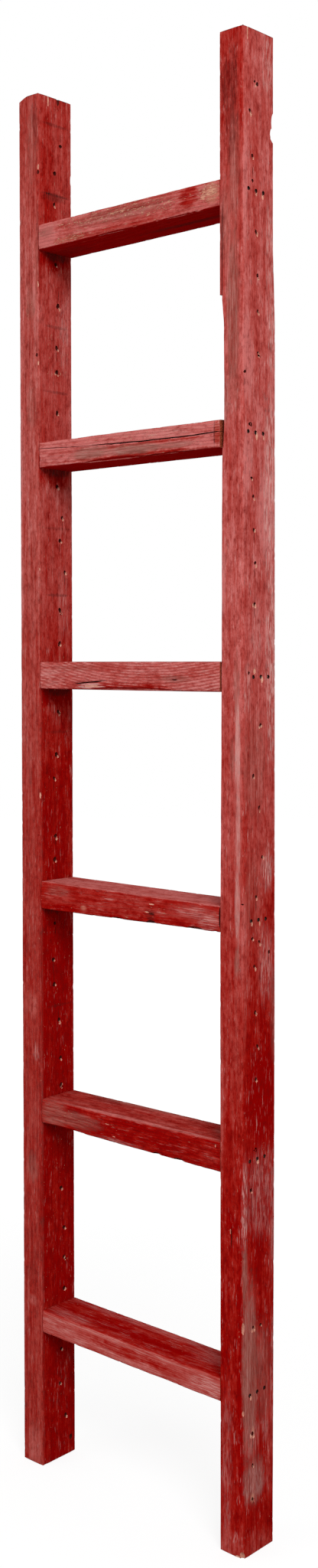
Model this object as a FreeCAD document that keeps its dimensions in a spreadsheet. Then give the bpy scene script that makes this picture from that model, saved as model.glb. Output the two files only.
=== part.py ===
"""Blanket ladder: two rails and six rungs of one old sawn stock, screwed together.

X runs across the ladder, Y from its front (-) to its back (+) and Z up, with the origin on the
floor midway between the feet. Millimetres. Rungs are numbered from the lowest.
"""
import FreeCAD, Part
import math
import os
import Sketcher

V = FreeCAD.Vector
doc = FreeCAD.newDocument("BlanketLadder")

# ------------------------------------------------------------------ driving sizes
SIZES = {
    # the ladder
    "rail_length": 1829,
    "overall_width": 384,
    "stock_thickness": 36.5,
    "stock_depth": 61.5,
    "edge_round": 2.5,
    "end_round": 1.5,
    "first_rung_height": 197,
    "rung_spacing": 289,
    # the screws, three through the rail into each end of a rung
    "screws_per_end": 3,
    "screw_pitch": 14,
    "screw_length": 75,
    "screw_shank_radius": 2.1,
    "screw_head_radius": 4,
    "screw_tip_length": 6,
    "screw_sink": 2.5,
    "sink_clearance": 0.3,
    "shank_clearance": 0.3,
    "pilot_run_out": 2,
    # the holes that the laths' nails left in the rails' right-hand faces
    "nail_hole_radius": 3,
    "nail_hole_depth": 22,
    "nail_pitch": 45.6,
    "lowest_nail": 56,
    "highest_nail_drop": 14,
    "nail_line_left": 35,
    "nail_line_right": 24,
    "nail_wander": 7,
    "nail_turn": 137.5,
    "nail_clear_of_rung": 8,
    # the piece bitten out of the right rail's outer back edge
    "bite_drop": 108,
    "bite_length": 40,
    "bite_depth": 8,
    "bite_reach": 12,
    # the chip out of the left rail's inner back edge
    "chip_drop": 103,
    "chip_length": 18,
    "chip_depth": 2.5,
    "chip_reach": 10,
    # the long split along the right rail's inner front edge
    "split_drop": 310,
    "split_step": 34,
    "split_width": 6,
    "split_length": 174,
    "split_fade_width": 3,
    "split_fade_length": 525,
    "split_reach": 14,
    # the bark edge left along the underside of the rungs' fronts
    "wane_reach": 5,
    # For each rung from the lowest: how far its centre was marked off the even spacing, the
    # height of its face at the left and at the right, how far its screws stand off the stock's
    # middle towards the back, and the place from the middle, length and depth of its wane.
    "rung_1_slip": 0,
    "rung_1_face_left": 31,
    "rung_1_face_right": 30,
    "rung_1_screw_shift": -4,
    "rung_1_wane_place": -60,
    "rung_1_wane_length": 60,
    "rung_1_wane_depth": 1.5,
    "rung_2_slip": -4,
    "rung_2_face_left": 33,
    "rung_2_face_right": 37.5,
    "rung_2_screw_shift": -4,
    "rung_2_wane_place": -110,
    "rung_2_wane_length": 90,
    "rung_2_wane_depth": 3,
    "rung_3_slip": -3.5,
    "rung_3_face_left": 37.5,
    "rung_3_face_right": 32.5,
    "rung_3_screw_shift": -1.5,
    "rung_3_wane_place": 80,
    "rung_3_wane_length": 70,
    "rung_3_wane_depth": 2.5,
    "rung_4_slip": 0,
    "rung_4_face_left": 36.5,
    "rung_4_face_right": 37,
    "rung_4_screw_shift": 3,
    "rung_4_wane_place": 50,
    "rung_4_wane_length": 150,
    "rung_4_wane_depth": 5,
    "rung_5_slip": 2,
    "rung_5_face_left": 34.5,
    "rung_5_face_right": 34.5,
    "rung_5_screw_shift": -7,
    "rung_5_wane_place": 40,
    "rung_5_wane_length": 70,
    "rung_5_wane_depth": 1.5,
    "rung_6_slip": -1.5,
    "rung_6_face_left": 34,
    "rung_6_face_right": 33,
    "rung_6_screw_shift": -6.5,
    "rung_6_wane_place": -20,
    "rung_6_wane_length": 80,
    "rung_6_wane_depth": 1.5,
}
RUNG_COUNT = 6

sheet = doc.addObject("Spreadsheet::Sheet", "Sizes")
for row, (alias, value) in enumerate(SIZES.items(), start=1):
    sheet.set(f"A{row}", alias)
    sheet.set(f"B{row}", str(value))
    sheet.setAlias(f"B{row}", alias)
doc.recompute()


def worth(expression):
    """The number that an expression on the sheet comes to."""
    return float(sheet.evalExpression(expression))


# ------------------------------------------------------------------ shared expressions
RUNG_NUMBERS = range(1, RUNG_COUNT + 1)
LEFT, RIGHT = -1, 1
HALF_THICKNESS = "Sizes.stock_thickness / 2"
HALF_DEPTH = "Sizes.stock_depth / 2"
RUNG_LENGTH = "(Sizes.overall_width - 2 * Sizes.stock_thickness)"
SCREW_HEAD_HEIGHT = "(Sizes.screw_head_radius - Sizes.screw_shank_radius)"
SCREW_BITE = "(Sizes.screw_length - Sizes.stock_thickness + Sizes.screw_sink)"
SQUARE_COUNTERSINK = 90


def rung_height(number):
    """A rung's centre above the floor."""
    return (f"(Sizes.first_rung_height + {number - 1} * Sizes.rung_spacing"
            f" + Sizes.rung_{number}_slip)")


def screw_row(number):
    """Where the screws of one end of a rung lie, front to back of the stock's middle."""
    count = int(worth("Sizes.screws_per_end"))
    return [f"Sizes.rung_{number}_screw_shift"
            f" + ({place} - (Sizes.screws_per_end - 1) / 2) * Sizes.screw_pitch"
            for place in range(count)]


# ------------------------------------------------------------------ sketches and features
def new_body(name):
    body = doc.addObject("PartDesign::Body", name)
    body.Label = name
    return body


def new_sketch(body, name, role, offset=None):
    """A sketch on one of the body's own planes, or on one parallel to it."""
    sketch = body.newObject("Sketcher::SketchObject", name)
    plane = next(feature for feature in body.Origin.OriginFeatures if feature.Role == role)
    sketch.AttachmentSupport = [(plane, "")]
    sketch.MapMode = "FlatFace"
    if offset:
        sketch.setExpression("AttachmentOffset.Base.z", offset)
    return sketch


def hold(sketch, kind, expression, *where):
    """A dimension whose value follows an expression."""
    place = sketch.addConstraint(Sketcher.Constraint(kind, *where, worth(expression)))
    sketch.setExpression(f"Constraints[{place}]", expression)


def draw_outline(sketch, corners):
    """A closed outline of straight lines through (across, up) expressions."""
    points = [V(worth(across), worth(up), 0) for across, up in corners]
    for here, point in enumerate(points):
        sketch.addGeometry(Part.LineSegment(point, points[(here + 1) % len(points)]), False)
    for here, (across, up) in enumerate(corners):
        sketch.addConstraint(
            Sketcher.Constraint("Coincident", here, 2, (here + 1) % len(corners), 1))
        hold(sketch, "DistanceX", across, -1, 1, here, 1)
        hold(sketch, "DistanceY", up, -1, 1, here, 1)


def draw_circle(sketch, across, up, radius):
    centre = V(worth(across), worth(up), 0)
    ring = sketch.addGeometry(Part.Circle(centre, V(0, 0, 1), worth(radius)), False)
    hold(sketch, "DistanceX", across, -1, 1, ring, 3)
    hold(sketch, "DistanceY", up, -1, 1, ring, 3)
    hold(sketch, "Radius", radius, ring)


def check_feature(feature, wood_before=None):
    """Stops on a feature that failed, or on a cut that took nothing away."""
    doc.recompute()
    if feature.Shape.isNull() or not feature.Shape.isValid():
        raise RuntimeError(f"{feature.Label} failed")
    if wood_before is not None and feature.Shape.Volume > wood_before - 0.1:
        raise RuntimeError(f"{feature.Label} cuts nothing")


def extrude(body, name, sketch, length, symmetric=False):
    pad = body.newObject("PartDesign::Pad", name)
    pad.Profile = sketch
    pad.setExpression("Length", length)
    if symmetric:
        pad.SideType = "Symmetric"
    check_feature(pad)
    return pad


def cut(body, name, sketch, depth, towards_normal=False):
    wood_before = body.Tip.Shape.Volume
    pocket = body.newObject("PartDesign::Pocket", name)
    pocket.Profile = sketch
    pocket.Reversed = towards_normal
    pocket.setExpression("Length", depth)
    check_feature(pocket, wood_before)
    return pocket


def round_off(body, name, wanted, radius):
    """Rounds the edges of the body's last feature that the test picks."""
    base = body.Tip
    names = [f"Edge{place}" for place, edge in enumerate(base.Shape.Edges, start=1)
             if wanted(edge)]
    fillet = body.newObject("PartDesign::Fillet", name)
    fillet.Base = (base, names)
    fillet.setExpression("Radius", radius)
    check_feature(fillet, base.Shape.Volume)


def draw_scoop(sketch, across, up, half_chord, depth, outward):
    """A circle that dips by a depth into an edge over a chord, from outside it.

    outward says on which side of the edge the circle's centre lies: (1, 0) is beyond an edge
    that runs up and down, (0, -1) is below one that runs across.
    """
    radius = f"(({half_chord}) ^ 2 + ({depth}) ^ 2) / (2 * ({depth}))"
    beyond = f"({radius} - ({depth}))"
    draw_circle(sketch, f"{across} + {outward[0]} * {beyond}",
                f"{up} + {outward[1]} * {beyond}", radius)


# ------------------------------------------------------------------ rails
def nail_heights():
    """Heights of the lath nails' holes, one to a lath, leaving out the laths at a rung."""
    heights = []
    course = 0
    while True:
        height = (f"Sizes.lowest_nail + {course} * Sizes.nail_pitch"
                  f" + Sizes.nail_wander * sin({course} * Sizes.nail_turn * 1 deg)")
        if worth(height) > worth("Sizes.rail_length - Sizes.highest_nail_drop"):
            return heights
        behind_rung = any(
            abs(worth(height) - worth(rung_height(number)))
            < worth("Sizes.stock_thickness / 2 + Sizes.nail_clear_of_rung")
            for number in RUNG_NUMBERS)
        if not behind_rung:
            heights.append((course, height))
        course += 1


def add_nail_holes(body, nail_line):
    """Old nail holes in the face that looks to the ladder's right."""
    sketch = new_sketch(body, "nail_places", "YZ_Plane", HALF_THICKNESS)
    for course, height in nail_heights():
        across = (f"{nail_line} - {HALF_DEPTH}"
                  f" + Sizes.nail_wander * cos({course} * Sizes.nail_turn * 1.7 * 1 deg)")
        draw_circle(sketch, across, height, "Sizes.nail_hole_radius")
    cut(body, "old_nail_holes", sketch, "Sizes.nail_hole_depth")


def add_screw_seats(body, side):
    """A sink for the head, a square countersink and a clear hole, for every screw."""
    outer_face = f"{side} * {HALF_THICKNESS}"
    countersink = f"{side} * ({HALF_THICKNESS} - Sizes.screw_sink)"
    mouths = new_sketch(body, "sink_places", "YZ_Plane", outer_face)
    seats = new_sketch(body, "seat_places", "YZ_Plane", countersink)
    for number in RUNG_NUMBERS:
        for across in screw_row(number):
            draw_circle(mouths, across, rung_height(number),
                        "Sizes.screw_head_radius + Sizes.sink_clearance")
            draw_circle(seats, across, rung_height(number), "Sizes.screw_head_radius")
    inwards_is_normal = side == LEFT
    cut(body, "head_sinks", mouths, "Sizes.screw_sink", inwards_is_normal)
    wood_before = body.Tip.Shape.Volume
    hole = body.newObject("PartDesign::Hole", "screw_seats")
    hole.Profile = seats
    hole.Reversed = inwards_is_normal
    hole.DepthType = "ThroughAll"
    hole.Threaded = False
    hole.setExpression("Diameter", "2 * (Sizes.screw_shank_radius + Sizes.shank_clearance)")
    hole.HoleCutType = "Countersink"
    hole.HoleCutCustomValues = True
    hole.setExpression("HoleCutDiameter", "2 * Sizes.screw_head_radius")
    hole.HoleCutCountersinkAngle = SQUARE_COUNTERSINK
    check_feature(hole, wood_before)


def add_bite(body, name, drop, length, depth, reach, face, towards_normal):
    """A scoop out of a back edge, cut inwards from one of the wide faces."""
    sketch = new_sketch(body, f"{name}_outline", "YZ_Plane", face)
    draw_scoop(sketch, HALF_DEPTH, f"Sizes.rail_length - {drop}", f"{length} / 2", depth, (1, 0))
    cut(body, name, sketch, reach, towards_normal)


def add_split(body):
    """The lost sliver: a broken step at its top, then an edge that fades back to full."""
    inner = f"-{HALF_THICKNESS}"
    top = "Sizes.rail_length - Sizes.split_drop"
    bottom = f"{top} - Sizes.split_length"
    outside = f"{inner} - Sizes.edge_round"
    sketch = new_sketch(body, "split_outline", "XZ_Plane", HALF_DEPTH)
    draw_outline(sketch, [
        (outside, top),
        (inner, top),
        (f"{inner} + Sizes.split_width", f"{top} - Sizes.split_step"),
        (f"{inner} + Sizes.split_width", bottom),
        (f"{inner} + Sizes.split_fade_width", f"{bottom} - Sizes.split_step"),
        (inner, f"{bottom} - Sizes.split_fade_length"),
        (outside, f"{bottom} - Sizes.split_fade_length"),
    ])
    cut(body, "split_edge", sketch, "Sizes.split_reach")


def make_rail(name, side, nail_line):
    """A rail, made about its own foot's centre and set at its side of the ladder."""
    body = new_body(name)
    section = new_sketch(body, "section", "XY_Plane")
    draw_outline(section, [
        (f"-{HALF_THICKNESS}", f"-{HALF_DEPTH}"),
        (HALF_THICKNESS, f"-{HALF_DEPTH}"),
        (HALF_THICKNESS, HALF_DEPTH),
        (f"-{HALF_THICKNESS}", HALF_DEPTH),
    ])
    extrude(body, "sawn_stock", section, "Sizes.rail_length")
    middle = worth("Sizes.rail_length") / 2
    round_off(body, "eased_edges", lambda edge: abs(edge.CenterOfMass.z - middle) < 1,
              "Sizes.edge_round")
    round_off(body, "eased_ends", lambda edge: abs(edge.CenterOfMass.z - middle) > middle - 1,
              "Sizes.end_round")
    add_nail_holes(body, nail_line)
    add_screw_seats(body, side)
    if side == RIGHT:
        add_bite(body, "bite", "Sizes.bite_drop", "Sizes.bite_length", "Sizes.bite_depth",
                 "Sizes.bite_reach", HALF_THICKNESS, False)
        add_split(body)
    else:
        add_bite(body, "chip", "Sizes.chip_drop", "Sizes.chip_length", "Sizes.chip_depth",
                 "Sizes.chip_reach", HALF_THICKNESS, False)
    body.setExpression("Placement.Base.x",
                       f"{side} * (Sizes.overall_width - Sizes.stock_thickness) / 2")
    return body


# ------------------------------------------------------------------ rungs
def make_rung(number):
    """A rung, made about its own centre: its height may differ from end to end."""
    own = f"Sizes.rung_{number}_"
    body = new_body(f"rung_{number}")
    face = new_sketch(body, "face", "XZ_Plane")
    draw_outline(face, [
        (f"-{RUNG_LENGTH} / 2", f"-{own}face_left / 2"),
        (f"{RUNG_LENGTH} / 2", f"-{own}face_right / 2"),
        (f"{RUNG_LENGTH} / 2", f"{own}face_right / 2"),
        (f"-{RUNG_LENGTH} / 2", f"{own}face_left / 2"),
    ])
    extrude(body, "sawn_stock", face, "Sizes.stock_depth", symmetric=True)
    longest = worth(RUNG_LENGTH)
    round_off(body, "eased_edges", lambda edge: edge.Length > longest - 1, "Sizes.edge_round")
    for side, end in ((LEFT, "left_end"), (RIGHT, "right_end")):
        sketch = new_sketch(body, end, "YZ_Plane", f"{side} * {RUNG_LENGTH} / 2")
        for across in screw_row(number):
            draw_circle(sketch, across, "0", "Sizes.screw_shank_radius")
        cut(body, f"{end}_pilot_holes", sketch, f"{SCREW_BITE} + Sizes.pilot_run_out",
            side == LEFT)
    wane = new_sketch(body, "wane_outline", "XZ_Plane", HALF_DEPTH)
    lean = f"({own}face_right - {own}face_left) / {RUNG_LENGTH}"
    lower_edge = f"-({own}face_left + {own}face_right) / 4 - {own}wane_place * {lean} / 2"
    draw_scoop(wane, f"{own}wane_place", lower_edge, f"{own}wane_length / 2",
               f"{own}wane_depth", (0, -1))
    cut(body, "wane", wane, "Sizes.wane_reach")
    body.setExpression("Placement.Base.z", rung_height(number))
    return body


# ------------------------------------------------------------------ screws
def make_screws(number, side, side_name):
    """The screws of one rung end: turned about X from the head's top, then set in a row."""
    body = new_body(f"rung_{number}_screws_{side_name}")
    body.AllowCompound = True
    profile = new_sketch(body, "half_profile", "XY_Plane")
    draw_outline(profile, [
        ("0", "0"),
        ("0", "Sizes.screw_head_radius"),
        (SCREW_HEAD_HEIGHT, "Sizes.screw_shank_radius"),
        ("Sizes.screw_length - Sizes.screw_tip_length", "Sizes.screw_shank_radius"),
        ("Sizes.screw_length", "0"),
    ])
    turned = body.newObject("PartDesign::Revolution", "turned_screw")
    turned.Profile = profile
    turned.ReferenceAxis = (profile, ["H_Axis"])
    turned.Angle = 360
    check_feature(turned)
    row = body.newObject("PartDesign::LinearPattern", "row")
    row.Originals = [turned]
    row.Direction = (profile, ["V_Axis"])
    row.setExpression("Length", "(Sizes.screws_per_end - 1) * Sizes.screw_pitch")
    row.setExpression("Occurrences", "Sizes.screws_per_end")
    body.Tip = row
    check_feature(row)
    half_row = "(Sizes.screws_per_end - 1) / 2 * Sizes.screw_pitch"
    if side == RIGHT:
        body.Placement = FreeCAD.Placement(V(), FreeCAD.Rotation(V(0, 0, 1), 180))
    body.setExpression("Placement.Base.x", f"{side} * (Sizes.overall_width / 2 - Sizes.screw_sink)")
    body.setExpression("Placement.Base.y", f"Sizes.rung_{number}_screw_shift + {side} * {half_row}")
    body.setExpression("Placement.Base.z", rung_height(number))
    return body


# ------------------------------------------------------------------ the ladder
parts = [
    make_rail("rail_left", LEFT, "Sizes.nail_line_left"),
    make_rail("rail_right", RIGHT, "Sizes.nail_line_right"),
]
for number in RUNG_NUMBERS:
    parts.append(make_rung(number))
    parts.append(make_screws(number, LEFT, "left"))
    parts.append(make_screws(number, RIGHT, "right"))
doc.recompute()

for thing in doc.Objects:
    if "Invalid" in thing.State or "Error" in thing.State:
        raise RuntimeError(f"{thing.Label} is {thing.State}")
for part in parts:
    if part.Shape.isNull() or not part.Shape.isValid():
        raise RuntimeError(f"{part.Label} has no valid shape")

os.makedirs("parts", exist_ok=True)
for part in parts:
    part.Shape.exportStep(f"parts/{part.Label}.step")
    box = part.Shape.BoundBox
    print(f"{part.Label:24s} solids {len(part.Shape.Solids)}  volume {part.Shape.Volume:12.1f}"
          f"  x {box.XMin:8.2f} {box.XMax:8.2f}  y {box.YMin:7.2f} {box.YMax:7.2f}"
          f"  z {box.ZMin:8.2f} {box.ZMax:8.2f}")
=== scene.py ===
"""Dresses the blanket ladder: old sawn studs in worn barn-red paint, full of nail holes.

X runs across the ladder, Y from front to back and Z up, in metres. Lists of marks on the wood are
in millimetres, because they were measured so.
"""
import math
import random

import bpy
from mathutils import Matrix, Vector


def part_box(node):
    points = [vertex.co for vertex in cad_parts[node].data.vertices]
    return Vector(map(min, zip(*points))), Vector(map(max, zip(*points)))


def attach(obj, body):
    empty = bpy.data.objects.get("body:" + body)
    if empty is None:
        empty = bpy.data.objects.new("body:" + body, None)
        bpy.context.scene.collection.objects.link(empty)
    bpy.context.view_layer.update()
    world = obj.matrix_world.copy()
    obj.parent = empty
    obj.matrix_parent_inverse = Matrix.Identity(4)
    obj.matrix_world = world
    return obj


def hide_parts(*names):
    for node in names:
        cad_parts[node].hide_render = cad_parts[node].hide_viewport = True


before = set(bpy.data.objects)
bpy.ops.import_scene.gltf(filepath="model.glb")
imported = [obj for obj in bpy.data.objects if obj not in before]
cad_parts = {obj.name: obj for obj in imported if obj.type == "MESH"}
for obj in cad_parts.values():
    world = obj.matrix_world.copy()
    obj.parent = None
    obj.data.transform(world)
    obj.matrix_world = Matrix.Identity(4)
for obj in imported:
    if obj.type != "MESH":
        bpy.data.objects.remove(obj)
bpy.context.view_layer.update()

MM = 0.001
X, Y, Z = 0, 1, 2
RAIL_LENGTH = 1.829
WORLD_LIGHT = 0.55
FLOOR_WHITE = 0.80  # how white the floor looks near the ladder, before it fades to pure white
RUNGS = tuple(f"rung_{number}" for number in range(1, 7))


def link(obj):
    bpy.context.scene.collection.objects.link(obj)


# -------- camera, light and room
def set_camera():
    """Stands the camera where the photograph was taken: level with rung 4, off to the right."""
    lens_px, rows, centre_row = 2152.8, 2048, 924.4
    sensor = 36
    stand = (1.42597, -1.54872, 1.0869)
    azimuth, elevation, roll = math.radians(42.04), math.radians(1.73), math.radians(-0.094)
    camera = bpy.data.objects.new("camera", bpy.data.cameras.new("camera"))
    camera.data.sensor_width = sensor
    camera.data.lens = lens_px / rows * sensor
    camera.data.shift_y = (centre_row - rows / 2) / rows
    link(camera)
    camera.matrix_world = (Matrix.Translation(stand)
                           @ Matrix.Rotation(azimuth, 4, "Z")
                           @ Matrix.Rotation(math.pi / 2 - elevation, 4, "X")
                           @ Matrix.Rotation(roll, 4, "Z"))
    bpy.context.scene.camera = camera


def add_lamp(name, place, aim, size, watts):
    lamp = bpy.data.objects.new(name, bpy.data.lights.new(name, "AREA"))
    lamp.data.shape = "DISK"
    lamp.data.size = size
    lamp.data.energy = watts
    link(lamp)
    lamp.location = place
    lamp.rotation_euler = (Vector(aim) - Vector(place)).to_track_quat("-Z", "Y").to_euler()


# -------- shader maths
class Val:
    """A number in a material, which takes Python's arithmetic."""

    def __init__(self, finish, socket):
        self.finish, self.socket = finish, socket

    def maths(self, operation, *others):
        return self.finish.maths(operation, self, *others)

    def __add__(self, other):
        return self.maths("ADD", other)

    def __sub__(self, other):
        return self.maths("SUBTRACT", other)

    def __rsub__(self, other):
        return self.finish.maths("SUBTRACT", other, self)

    def __mul__(self, other):
        return self.maths("MULTIPLY", other)

    __radd__ = __add__
    __rmul__ = __mul__

    def smooth(self, low, high):
        """0 below low, 1 above high, and a soft step between them. High may be the lower one."""
        node = self.finish.node("ShaderNodeMapRange", {"interpolation_type": "SMOOTHSTEP"},
                                Value=self, **{"From Min": low, "From Max": high})
        return Val(self.finish, node.outputs[0])


class Finish:
    """A procedural material in the making."""

    def __init__(self, name, owner=None):
        self.material = owner or bpy.data.materials.new(name)
        self.material.use_nodes = True
        self.tree = self.material.node_tree
        self.tree.nodes.clear()

    def node(self, kind, settings=None, *values, **named):
        """A node with its settings, then the values or links of its sockets."""
        node = self.tree.nodes.new(kind)
        for name, value in (settings or {}).items():
            setattr(node, name, value)
        for key, value in [*enumerate(values), *named.items()]:
            self.feed(node.inputs[key], value)
        return node

    def feed(self, socket, value):
        """Links a socket to a value's own socket, or sets it."""
        if isinstance(value, Val):
            value = value.socket
        if isinstance(value, bpy.types.NodeSocket):
            self.tree.links.new(value, socket)
        else:
            socket.default_value = value

    def maths(self, operation, *values):
        return Val(self, self.node("ShaderNodeMath", {"operation": operation},
                                   *values).outputs[0])

    def mix(self, factor, plain, other):
        """One colour laid over another."""
        node = self.node("ShaderNodeMix", {"data_type": "RGBA"})
        for place, value in ((0, factor), (6, plain), (7, other)):
            self.feed(node.inputs[place], (*value, 1) if isinstance(value, tuple) else value)
        return node.outputs[2]

    def here(self):
        """Object coordinates, in metres."""
        return self.node("ShaderNodeTexCoord").outputs["Object"]

    def place(self, scale, shift, source):
        """Coordinates scaled per axis and shifted."""
        return self.node("ShaderNodeMapping", None, source, Scale=scale,
                         Location=shift).outputs[0]

    def noise(self, where, scale=1.0, detail=2.0, roughness=0.5):
        node = self.node("ShaderNodeTexNoise", None, where, Scale=scale, Detail=detail,
                         Roughness=roughness)
        return Val(self, node.outputs[0])

    def length(self, vector):
        node = self.node("ShaderNodeVectorMath", {"operation": "LENGTH"}, vector)
        return Val(self, node.outputs["Value"])

    def parts(self, vector):
        """The X, Y and Z of a vector."""
        node = self.node("ShaderNodeSeparateXYZ", None, vector)
        return [Val(self, socket) for socket in node.outputs]

    def ramp(self, factor, stops):
        """Colours along a value; stops are (value, colour)."""
        node = self.node("ShaderNodeValToRGB", None, factor)
        marks = node.color_ramp.elements
        while len(marks) < len(stops):
            marks.new(0.5)
        for mark, (position, colour) in zip(marks, stops):
            mark.position = position
            mark.color = (*colour, 1)
        return node.outputs[0]

    def surface(self, bump, bump_depth, **sockets):
        normal = self.node("ShaderNodeBump", None, Height=bump, Strength=1.0,
                           Distance=bump_depth).outputs[0]
        shader = self.node("ShaderNodeBsdfPrincipled", None, Normal=normal, **sockets)
        self.node("ShaderNodeOutputMaterial", None, shader.outputs[0])
        return self.material


# -------- the paint and the wood
DEEP_RED = (0.280, 0.0006, 0.0005)
BARN_RED = (0.342, 0.008, 0.005)
WORN_RED = (0.390, 0.035, 0.027)
DUSTY_RED = (0.462, 0.076, 0.065)
CHALKY_RED = (0.560, 0.142, 0.130)
BARE_TAN = (0.620, 0.300, 0.200)
SAWN_DARK = (0.130, 0.006, 0.004)
SAWN_BROWN = (0.300, 0.050, 0.022)
SAWN_TAN = (0.420, 0.120, 0.060)
WEATHERED = (0.290, 0.098, 0.078)
WEATHERED_DARK = (0.130, 0.030, 0.023)
WEATHERED_PALE = (0.460, 0.215, 0.185)
# Nearly black grime, also the colour of the painted shadow under the rungs.
SOOT_AND_SHADOW = (0.030, 0.010, 0.009)
GRAIN_DARK = (0.085, 0.004, 0.004)
PALE_DUST = (0.700, 0.360, 0.330)
# Painted shade: how deep a red the undersides are made.
UNDERSIDE_SHADE = -0.35


def stretched(along, across_mm, along_mm):
    """Mapping scale that makes a pattern so many millimetres across the grain and along it."""
    scale = [1 / (across_mm * MM)] * 3
    scale[along] = 1 / (along_mm * MM)
    return scale


def old_paint(name, along, seed, front, flecks, dust, pith, rings, patches, side=0.5, top=0.5,
              grime=1.0, lean=(0.01, 0.02), arch=(0.0, 0.0), rubbed=0.0, year_mm=3.4):
    """Barn-red paint, brushed on old sawn wood and worn since.

    front, side and top give how pale each face's paint is, as a number or by height: partly
    from fading and partly painted light and shade, which gives each face and height its own
    brightness. pith is where the heart of the tree lay, across the grain, lean how the grain
    runs off it and arch where and how much it bows. patches are (kind, centre in mm, radii in
    mm, strength)."""
    finish = Finish(name)
    here = finish.here()
    shift = (seed * 3.1, seed * 1.7, seed * 2.3)

    def grain(across_mm, along_mm, detail, roughness=0.5):
        """A noise so many millimetres across the grain and along it."""
        return finish.noise(finish.place(stretched(along, across_mm, along_mm), shift, here),
                            detail=detail, roughness=roughness)

    blotches, clouds, mottle = grain(45, 170, 3), grain(13, 30, 4, 0.6), grain(4.5, 10, 5, 0.75)
    bands, streaks = grain(5.5, 110, 3, 0.65), grain(2.2, 70, 3, 0.6)
    brushed = grain(1.7, 16, 2, 0.6) if along == Z else grain(1.2, 26, 2, 0.6)
    fine, specks = grain(1.1, 16, 3, 0.65), grain(1.1, 3.8, 2)
    ragged = (mottle - 0.5) * 0.9 + (streaks - 0.5) * 1.1 + (fine - 0.5) * 0.5

    # where the paint is worn and stained in its own way, and where painted shadow lies under the
    # rungs
    masks = {}
    for kind, centre, radii, strength in patches:
        scale = [1 / (reach * MM) for reach in radii]
        moved = [-at * MM * size for at, size in zip(centre, scale)]
        far = finish.length(finish.place(scale, moved, here))
        mask = (far + ragged).smooth(1.15, 0.5) * strength
        masks[kind] = masks[kind].maths("MAXIMUM", mask) if kind in masks else mask

    facing = finish.parts(finish.node("ShaderNodeNewGeometry").outputs["Normal"])
    spot = finish.parts(here)
    is_side = facing[X].maths("ABSOLUTE").smooth(0.5, 0.85)
    is_top = facing[Z].smooth(0.5, 0.85)
    is_under = facing[Z].smooth(-0.5, -0.85)

    def level(given_fade_and_light):
        """How pale the paint is, from fading and painted light and shade: a number, or stops of
        (height in metres, number).
        """
        if isinstance(given_fade_and_light, (int, float)):
            return given_fade_and_light
        return Val(finish, finish.ramp(spot[Z] * (1 / RAIL_LENGTH), [
            (at / RAIL_LENGTH, (value,) * 3) for at, value in given_fade_and_light]))

    # Each face takes its own paleness, a rail's sides and a rung's top apart from the front:
    # partly painted light and shade.
    fade_and_light = (level(front) * (1 - is_side) + level(side) * is_side) if along == Z else (
        level(front) * (1 - is_top) + top * is_top)
    # Painted shade: every underside goes to the deepest red.
    fade_and_light = fade_and_light * (1 - is_under) + UNDERSIDE_SHADE * is_under
    # Less pale dust and fewer bare flecks on the undersides, so that their painted shade stays
    # dark.
    unshaded = 1 - is_under * 0.9
    # Deep patches make the paint a deeper red; under the rungs they are painted shadow.
    for kind, change in (("chalk", 0.5), ("deep", -0.5)):
        if kind in masks:
            fade_and_light = fade_and_light + masks[kind] * change
    fade_and_light = (fade_and_light + (blotches - 0.5) * 0.5 + (clouds - 0.5) * 0.6 + (mottle - 0.5) * 0.9
             + (bands - 0.5) * 0.9 + (streaks - 0.5) * 0.4 + (fine - 0.5) * 0.4)
    colour = finish.ramp(fade_and_light, [(0.0, DEEP_RED), (0.25, BARN_RED), (0.5, WORN_RED),
                                 (0.78, DUSTY_RED), (1.0, CHALKY_RED)])

    # growth rings show through the paint: arches on a sawn face, lines on its edges
    across = [axis for axis in (X, Y, Z) if axis != along]
    bow = grain(60, 260, 1)
    run = spot[along]
    from_middle = run - arch[0] * MM
    off = [spot[axis] - pith[place] + run * lean[place] for place, axis in enumerate(across)]
    off[1] = off[1] + from_middle * from_middle * arch[1]
    radius = (off[0] * off[0] + off[1] * off[1]).maths("SQRT")
    phase = radius * (1 / (year_mm * MM)) + bow * 2.5 + (clouds - 0.5) * 0.9
    year = phase.maths("FRACT")
    late_wood = year.smooth(0.55, 0.9) * year.smooth(1.0, 0.93)
    raised = year.smooth(0.12, 0.35) * year.smooth(0.66, 0.45)
    colour = finish.mix(late_wood * rings * (0.3 + blotches), colour, GRAIN_DARK)

    # pale dust and scuffs on the raised grain
    lines = (streaks * 0.5 + fine * 0.5).smooth(0.50, 0.62)
    scuffed = brushed.smooth(0.60, 0.68) * clouds.smooth(0.42, 0.62) * dust
    if "scuff" in masks:
        scuffed = scuffed.maths("MAXIMUM",
                                masks["scuff"] * (0.12 + brushed.smooth(0.47, 0.58) * 0.88))
    if rubbed:
        scuffed = scuffed.maths("MAXIMUM", raised * fine.smooth(0.46, 0.56)
                                * clouds.smooth(0.36, 0.52) * rubbed)
    colour = finish.mix(scuffed * unshaded, colour, PALE_DUST)
    dulled = (mottle.smooth(0.54, 0.30) * 0.45 + clouds.smooth(0.50, 0.30) * 0.20
              + specks.smooth(0.45, 0.25) * 0.28)
    colour = finish.mix(dulled * grime, colour, GRAIN_DARK)
    bare_wood = finish.ramp(bands * 0.4 + streaks * 0.3 + fine * 0.3, [
        (0.39, WEATHERED_DARK), (0.5, WEATHERED), (0.62, WEATHERED_PALE)])
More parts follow.
